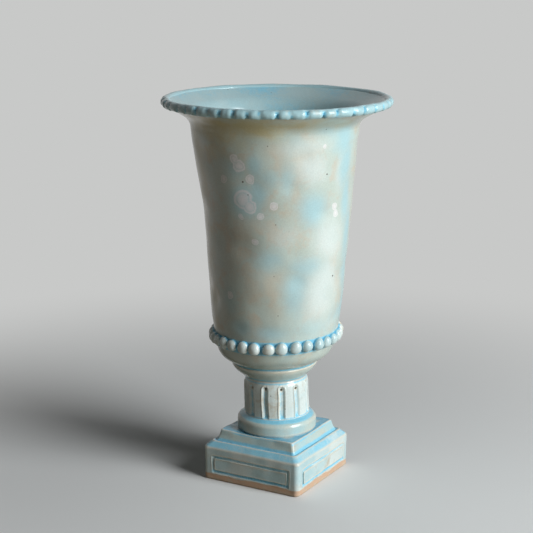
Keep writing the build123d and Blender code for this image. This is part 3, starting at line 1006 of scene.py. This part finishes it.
class VASE_OT_beads(bpy.types.Operator):
    """Roll the beads and press them round the bowl"""
    bl_idname = "vase.beads"
    bl_label = "Beads"

    bead_count = 33
    bead_turn = 9.6
    bead_crowding = 3.4
    bead_crowd_turn = -60.5
    bead_tall = 4.55
    bead_proud = 4.1

    def execute(self, context):
        sizes = context.scene.vase_sizes
        width = sizes.bead_width / MM
        middle = (BEAD_FOOT + BEAD_TOP) / 2
        beads = []
        for k in range(self.bead_count):
            bpy.ops.object.select_all(action="DESELECT")
            bpy.ops.mesh.primitive_uv_sphere_add(segments=28, ring_count=18, radius=1 * MM)
            bead = context.object
            place = places(bead)
            even = self.bead_turn - k * 360 / self.bead_count
            crowd = math.radians(2 * (even - self.bead_crowd_turn))
            size = (1 + 0.13 * math.cos(crowd)) * (1 + 0.05 * math.sin(3.1 * k))
            wide = 0.5 * width * size
            tall = self.bead_tall * (1 + 0.06 * math.sin(2.3 * k + 1))
            proud = self.bead_proud * (1 + 0.04 * math.sin(4.7 * k))
            place = np.sign(place) * np.abs(place) ** np.array((0.92, 0.92, 0.94))
            place[:, 0] *= proud
            place[:, 1] *= wide * (1 - 0.08 * place[:, 2])
            place[:, 2] *= tall
            place += 0.18 * np.column_stack([ripple(place + 9 * k, 4.5, axis) for axis in range(3)])
            lean = 0.16 * math.sin(1.9 * k)
            across = place[:, 1] * math.cos(lean) - place[:, 2] * math.sin(lean)
            rise = place[:, 1] * math.sin(lean) + place[:, 2] * math.cos(lean)
            out = place[:, 0] + BEAD_REACH - 3.9
            angle = math.radians(even + self.bead_crowding * math.sin(crowd) + 0.4 * math.sin(2.9 * k))
            put(bead, np.column_stack((
                out * math.cos(angle) - across * math.sin(angle),
                out * math.sin(angle) + across * math.cos(angle),
                rise + middle + 0.3 + 0.3 * math.sin(5.3 * k))))
            beads.append(bead)
        belt = join(beads)
        belt.name = "bead_belt"
        belt.data.name = "bead_belt"

        def pooled(place):
            out = polar(place)[0]
            root = 1 - smooth(BEAD_REACH - 4.0, BEAD_REACH - 1.2, out)
            above = smooth(middle + 1.5, middle + 4.2, place[:, 2])
            return 0.7 * root + 0.2 * above * root

        def thinned(place):
            return 0.5 * (1 - smooth(middle - 4.4, middle - 1.5, place[:, 2]))

        marks(belt, pooled, thinned, rounds=1, deep=1, high=9)
        finish(belt, ("belt_beads",), glaze(
            "bead_celadon_glaze", base="cream", beige=0.3, sky=0.7), sharp=80)
        return {"FINISHED"}


class VASE_OT_wall(bpy.types.Operator):
    """Pinch the tall wall"""
    bl_idname = "vase.wall"
    bl_label = "Wall"

    def execute(self, context):
        thick = context.scene.vase_sizes.wall_thickness / MM
        points = outline((
            (BOWL_RADIUS, WALL_SEAT, 0, 1.25), (WALL_RADIUS, WALL_TOP, 0, 2.0),
            (WALL_RADIUS - thick, WALL_TOP, 0, 2.0), (BOWL_RADIUS - thick, WALL_SEAT, 0, 2.0)))
        piece = spun("pinched_wall", points, 256)
        reshape(piece, pinched)

        def depth_in(place):
            return wall_radius(place[:, 2]) - polar(place)[0]

        def pooled(place):
            foot = 1 - smooth(WALL_SEAT + 0.2, WALL_SEAT + 2.2, place[:, 2])
            return 0.1 * foot + 0.12 * smooth(2.0, 3.0, depth_in(place))

        marks(piece, pooled, rounds=4, deep=5, high=5)
        # Its ochre clouds down the left side are partly painted shade
        tint_clouds(piece, depth_in(places(piece)) < 2.5)
        finish(piece, ("body_wall",), glaze("wall_celadon_glaze", sky=0.45, clouded=True))
        return {"FINISHED"}


class VASE_OT_flange(bpy.types.Operator):
    """Build the flared flange of the mouth"""
    bl_idname = "vase.flange"
    bl_label = "Flange"

    def execute(self, context):
        thick = context.scene.vase_sizes.wall_thickness / MM
        points = outline((
            (WALL_RADIUS, WALL_TOP, 0, 0.8), (WALL_RADIUS + 0.8, WALL_TOP + 4.6, 6.5, 0.8),
            (COIL_RADIUS - 4.8, COIL_TOP - 6.0, 2.0, 0.8), (COIL_RADIUS - 3.2, COIL_TOP - 3.6, 0, 1.0),
            (COIL_RADIUS - 4.4, COIL_TOP - 1.0, 1.5, 0.8),
            (WALL_RADIUS - thick + 1.2, WALL_TOP + 8.6, 9.5, 0.9),
            (WALL_RADIUS - thick, WALL_TOP, 0, 2.0)))
        piece = spun("flared_flange", points, 256)
        reshape(piece, pinched)

        def lined(place):
            out = polar(place)[0]
            return (out < WALL_RADIUS - 2) | (place[:, 2] >= WALL_TOP + 6 + 0.62 * (out - WALL_RADIUS))

        def pooled(place):
            return lined(place) * (0.12 + 0.2 * ripple(place, 26, 2.6))

        marks(piece, pooled, rounds=4, deep=5, high=5)
        # Its ochre band on the underside is partly painted shade, and the broad cream clouds on the lining's
        # left side are painted light
        tint_clouds(piece, ~lined(places(piece)), LINING_CLOUDS_AND_PAINTED_LIGHT)
        finish(piece, ("rim_flange",), glaze("flange_celadon_glaze", sky=0.45, clouded=True))
        return {"FINISHED"}


class VASE_OT_coil(bpy.types.Operator):
    """Roll the rim coil and press its notches"""
    bl_idname = "vase.coil"
    bl_label = "Coil"

    notch_count = 48
    notch_turn = 0.7
    notch_crowding = 2.0
    notch_crowds = 3
    notch_crowd_turn = 50.0
    notch_stray = 0.4
    coil_radius = 3.2

    def notch_angle(self, k):
        """Angle of a notch: nearly even, crowding here and there as handwork does."""
        even = self.notch_turn + k * 360 / self.notch_count
        crowd = np.cos(np.radians(self.notch_crowds * (even + self.notch_crowd_turn)))
        return np.radians(even - self.notch_crowding * crowd + self.notch_stray * np.sin(2.4 * k))

    def execute(self, context):
        sizes = context.scene.vase_sizes
        tube = self.coil_radius
        ring = COIL_RADIUS - tube
        level = COIL_TOP - tube
        bpy.ops.object.select_all(action="DESELECT")
        bpy.ops.mesh.primitive_torus_add(
            major_segments=24 * self.notch_count, minor_segments=36, major_radius=ring * MM,
            minor_radius=tube * MM, location=(0, 0, level * MM))
        piece = context.object
        bpy.ops.object.transform_apply(location=True)
        piece.name = "notched_coil"
        piece.data.name = "notched_coil"
        width = sizes.notch_width / MM
        depth = sizes.notch_depth / MM

        def rule(radius, turn, height):
            place = points_at(radius, turn, height)
            out = radius - ring
            rise = height - level
            tilt = np.arctan2(rise, out)
            nearest = np.round(np.degrees(turn) * self.notch_count / 360)
            lens = np.maximum(np.cos(0.95 * (tilt + 0.15)), 0.02) ** 0.6
            press = np.zeros(len(radius))
            for step in (-1, 0, 1):
                k = (nearest + step) % self.notch_count
                across = np.angle(np.exp(1j * (turn - self.notch_angle(k)))) * COIL_RADIUS
                far = np.abs(across + 0.12 * rise) / (0.5 * width * lens)
                press += (1 - smooth(0.1, 1.1, far)) * smooth(0.05, 0.5, lens)
                press -= 0.12 * np.exp(-((far - 1.35) / 0.4) ** 2) * smooth(0.2, 0.8, lens)
            lumps = 0.2 * ripple(place, 16, 2.9) + 0.06 * ripple(place, 5, 0.2)
            scale = 1 - (depth * press - lumps) / tube
            return ring + out * scale, turn, level + rise * scale

        reshape(piece, rule)

        def pooled(place):
            out = polar(place)[0]
            return 0.08 * (1 - smooth(ring - 2.5, ring, out))

        marks(piece, pooled, rounds=8, deep=1.6, high=9)
        finish(piece, ("rim_coil",), glaze("rim_celadon_glaze", base="sky", beige=0.1), sharp=80)
        return {"FINISHED"}


class VASE_PT_panel(bpy.types.Panel):
    bl_idname = "VASE_PT_panel"
    bl_label = "Pinched Vase"
    bl_space_type = "VIEW_3D"
    bl_region_type = "UI"
    bl_category = "Vase"

    def draw(self, context):
        for group in (context.scene.vase_sizes, context.scene.vase_colours):
            for name in group.__annotations__:
                self.layout.prop(group, name)
        for operator in OPERATORS:
            self.layout.operator(operator.bl_idname)


OPERATORS = (
    VASE_OT_stage, VASE_OT_plinth, VASE_OT_step, VASE_OT_base_ring, VASE_OT_stem, VASE_OT_collar,
    VASE_OT_bowl, VASE_OT_beads, VASE_OT_wall, VASE_OT_flange, VASE_OT_coil)
CLASSES = (VaseSizes, VaseColours) + OPERATORS + (VASE_PT_panel,)


def register():
    for kind in CLASSES:
        bpy.utils.register_class(kind)
    bpy.types.Scene.vase_sizes = bpy.props.PointerProperty(type=VaseSizes)
    bpy.types.Scene.vase_colours = bpy.props.PointerProperty(type=VaseColours)


def unregister():
    del bpy.types.Scene.vase_colours
    del bpy.types.Scene.vase_sizes
    for kind in reversed(CLASSES):
        bpy.utils.unregister_class(kind)


def main():
    """Register the add-on and build every piece in order."""
    register()
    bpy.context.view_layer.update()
    for operator in OPERATORS:
        group, name = operator.bl_idname.split(".")
        getattr(getattr(bpy.ops, group), name)()


if __name__ == "__main__":
    main()
